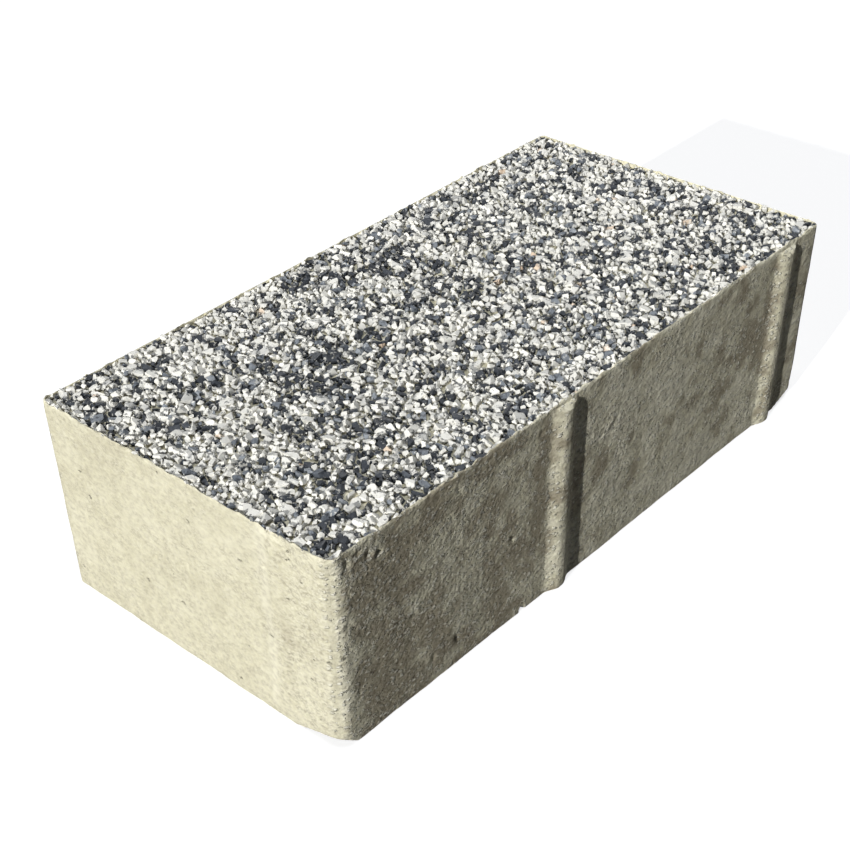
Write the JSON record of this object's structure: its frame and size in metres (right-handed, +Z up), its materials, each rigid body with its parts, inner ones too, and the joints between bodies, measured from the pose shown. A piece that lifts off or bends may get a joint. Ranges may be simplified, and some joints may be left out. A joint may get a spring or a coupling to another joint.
{
  "type": "paving block",
  "caption": "Rectangular concrete paving block with an exposed crushed-stone wearing face, rounded upright corners and spacer ribs on its sides that keep an open joint.",
  "frame": {"origin": "centre of the bedding face, which lies on the floor", "axes": "+X along the length, +Y across the width, +Z up, out of the wearing face"},
  "size_m": [0.212, 0.107, 0.06],
  "materials": {
    "concrete": "matt pressed concrete; wearing face of crushed stone chips"
  },
  "bodies": {
    "root": {"paving_block": "concrete"}
  },
  "joints": []
}
